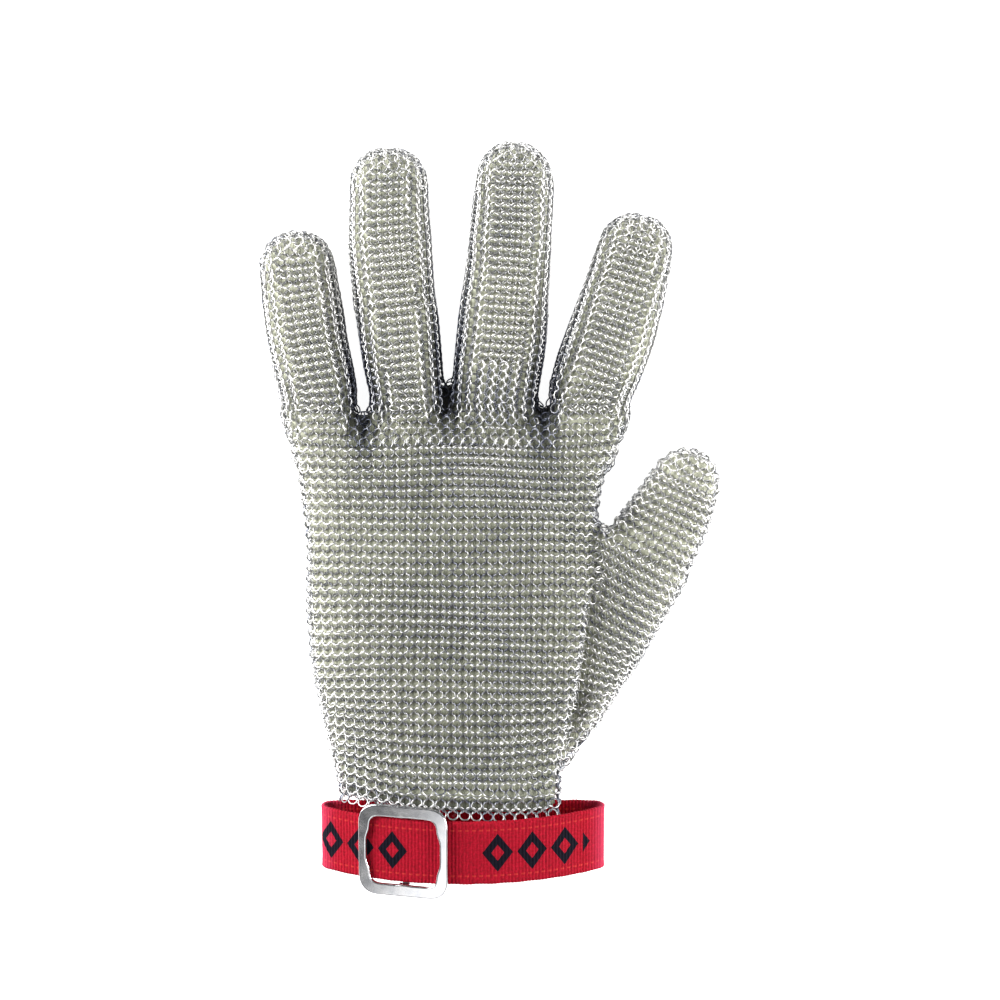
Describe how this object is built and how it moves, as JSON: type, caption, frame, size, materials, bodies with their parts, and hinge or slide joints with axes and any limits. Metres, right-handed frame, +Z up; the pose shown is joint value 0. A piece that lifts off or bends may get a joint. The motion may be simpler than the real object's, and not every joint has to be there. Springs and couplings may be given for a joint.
{
  "type": "cut resistant glove",
  "caption": "Woven steel ring-mesh glove with an inner liner and a webbing wrist strap held by a slide buckle; the fingers and thumb fold at their knuckles.",
  "frame": {"origin": "centre of the footprint on the surface that the glove lies on", "axes": "+Y from the wrist to the fingertips, +X towards the thumb, +Z up from the surface through the buckle side"},
  "size_m": [0.145, 0.2372, 0.0294],
  "materials": {
    "ring_mesh": "bright woven stainless wire rings",
    "liner": "fine matt knit",
    "webbing": "ribbed woven webbing",
    "thread": "sewn thread",
    "polished_steel": "polished flat stamping"
  },
  "bodies": {
    "hand": {"hand_front_mesh": "ring_mesh", "hand_back_mesh": "ring_mesh", "hand_front_liner": "liner", "hand_back_liner": "liner", "wrist_strap": "webbing", "strap_lap": "webbing", "lap_tack_left": "thread", "lap_tack_right": "thread"},
    "little_proximal": {"little_proximal_mesh": "ring_mesh", "little_proximal_liner": "liner"},
    "little_middle": {"little_middle_mesh": "ring_mesh", "little_middle_liner": "liner"},
    "little_distal": {"little_distal_mesh": "ring_mesh", "little_distal_liner": "liner"},
    "ring_proximal": {"ring_proximal_mesh": "ring_mesh", "ring_proximal_liner": "liner"},
    "ring_middle": {"ring_middle_mesh": "ring_mesh", "ring_middle_liner": "liner"},
    "ring_distal": {"ring_distal_mesh": "ring_mesh", "ring_distal_liner": "liner"},
    "middle_proximal": {"middle_proximal_mesh": "ring_mesh", "middle_proximal_liner": "liner"},
    "middle_middle": {"middle_middle_mesh": "ring_mesh", "middle_middle_liner": "liner"},
    "middle_distal": {"middle_distal_mesh": "ring_mesh", "middle_distal_liner": "liner"},
    "index_proximal": {"index_proximal_mesh": "ring_mesh", "index_proximal_liner": "liner"},
    "index_middle": {"index_middle_mesh": "ring_mesh", "index_middle_liner": "liner"},
    "index_distal": {"index_distal_mesh": "ring_mesh", "index_distal_liner": "liner"},
    "thumb_wing": {"thumb_wing_mesh": "ring_mesh", "thumb_wing_liner": "liner"},
    "thumb_proximal": {"thumb_proximal_mesh": "ring_mesh", "thumb_proximal_liner": "liner"},
    "thumb_distal": {"thumb_distal_mesh": "ring_mesh", "thumb_distal_liner": "liner"},
    "slide_buckle": {"slide_buckle": "polished_steel"}
  },
  "joints": [
    {"name": "little_base_fold", "type": "hinge", "parent": "hand", "child": "little_proximal", "pos_m": [-0.05267, 0.0342, 0.0145], "axis": [1, 0, 0], "range_deg": [0, 80]},
    {"name": "little_middle_fold", "type": "hinge", "parent": "little_proximal", "child": "little_middle", "pos_m": [-0.05777, 0.0557, 0.0136], "axis": [0.9796, 0.2009, 0], "range_deg": [0, 85]},
    {"name": "little_tip_fold", "type": "hinge", "parent": "little_middle", "child": "little_distal", "pos_m": [-0.06067, 0.0732, 0.0128], "axis": [0.9891, 0.1473, 0], "range_deg": [0, 45]},
    {"name": "ring_base_fold", "type": "hinge", "parent": "hand", "child": "ring_proximal", "pos_m": [-0.02667, 0.0342, 0.0145], "axis": [1, 0, 0], "range_deg": [0, 80]},
    {"name": "ring_middle_fold", "type": "hinge", "parent": "ring_proximal", "child": "ring_middle", "pos_m": [-0.03007, 0.0642, 0.0136], "axis": [0.9951, 0.0986, 0], "range_deg": [0, 85]},
    {"name": "ring_tip_fold", "type": "hinge", "parent": "ring_middle", "child": "ring_distal", "pos_m": [-0.03237, 0.0917, 0.0128], "axis": [0.9976, 0.069, 0], "range_deg": [0, 45]},
    {"name": "middle_base_fold", "type": "hinge", "parent": "hand", "child": "middle_proximal", "pos_m": [0.00063, 0.0342, 0.0145], "axis": [1, 0, 0], "range_deg": [0, 80]},
    {"name": "middle_middle_fold", "type": "hinge", "parent": "middle_proximal", "child": "middle_middle", "pos_m": [0.00393, 0.0667, 0.0136], "axis": [0.995, -0.0995, 0], "range_deg": [0, 85]},
    {"name": "middle_tip_fold", "type": "hinge", "parent": "middle_middle", "child": "middle_distal", "pos_m": [0.00653, 0.0932, 0.0128], "axis": [0.9964, -0.0843, 0], "range_deg": [0, 45]},
    {"name": "index_base_fold", "type": "hinge", "parent": "hand", "child": "index_proximal", "pos_m": [0.02943, 0.0342, 0.0145], "axis": [1, 0, 0], "range_deg": [0, 65]},
    {"name": "index_middle_fold", "type": "hinge", "parent": "index_proximal", "child": "index_middle", "pos_m": [0.03753, 0.0562, 0.0136], "axis": [0.9485, -0.3169, 0], "range_deg": [0, 80]},
    {"name": "index_tip_fold", "type": "hinge", "parent": "index_middle", "child": "index_distal", "pos_m": [0.04313, 0.0752, 0.0128], "axis": [0.9614, -0.2752, 0], "range_deg": [0, 30]},
    {"name": "thumb_wing_fold", "type": "hinge", "parent": "hand", "child": "thumb_wing", "pos_m": [0.03493, -0.0048, 0.0178], "axis": [-0.1384, -0.9904, 0], "range_deg": [0, 25]},
    {"name": "thumb_root_fold", "type": "hinge", "parent": "thumb_wing", "child": "thumb_proximal", "pos_m": [0.04808, -0.0132, 0.0134], "axis": [0.8634, -0.5045, 0], "range_deg": [0, 25]},
    {"name": "thumb_tip_fold", "type": "hinge", "parent": "thumb_proximal", "child": "thumb_distal", "pos_m": [0.05533, -0.002, 0.0128], "axis": [0.8757, -0.4829, 0], "range_deg": [0, 40]},
    {"name": "buckle_travel", "type": "hinge", "parent": "hand", "child": "slide_buckle", "pos_m": [-0.00897, -0.08949, -0.04367], "axis": [0, 0.9781, 0.2079], "range_deg": [-5, 35]}
  ]
}
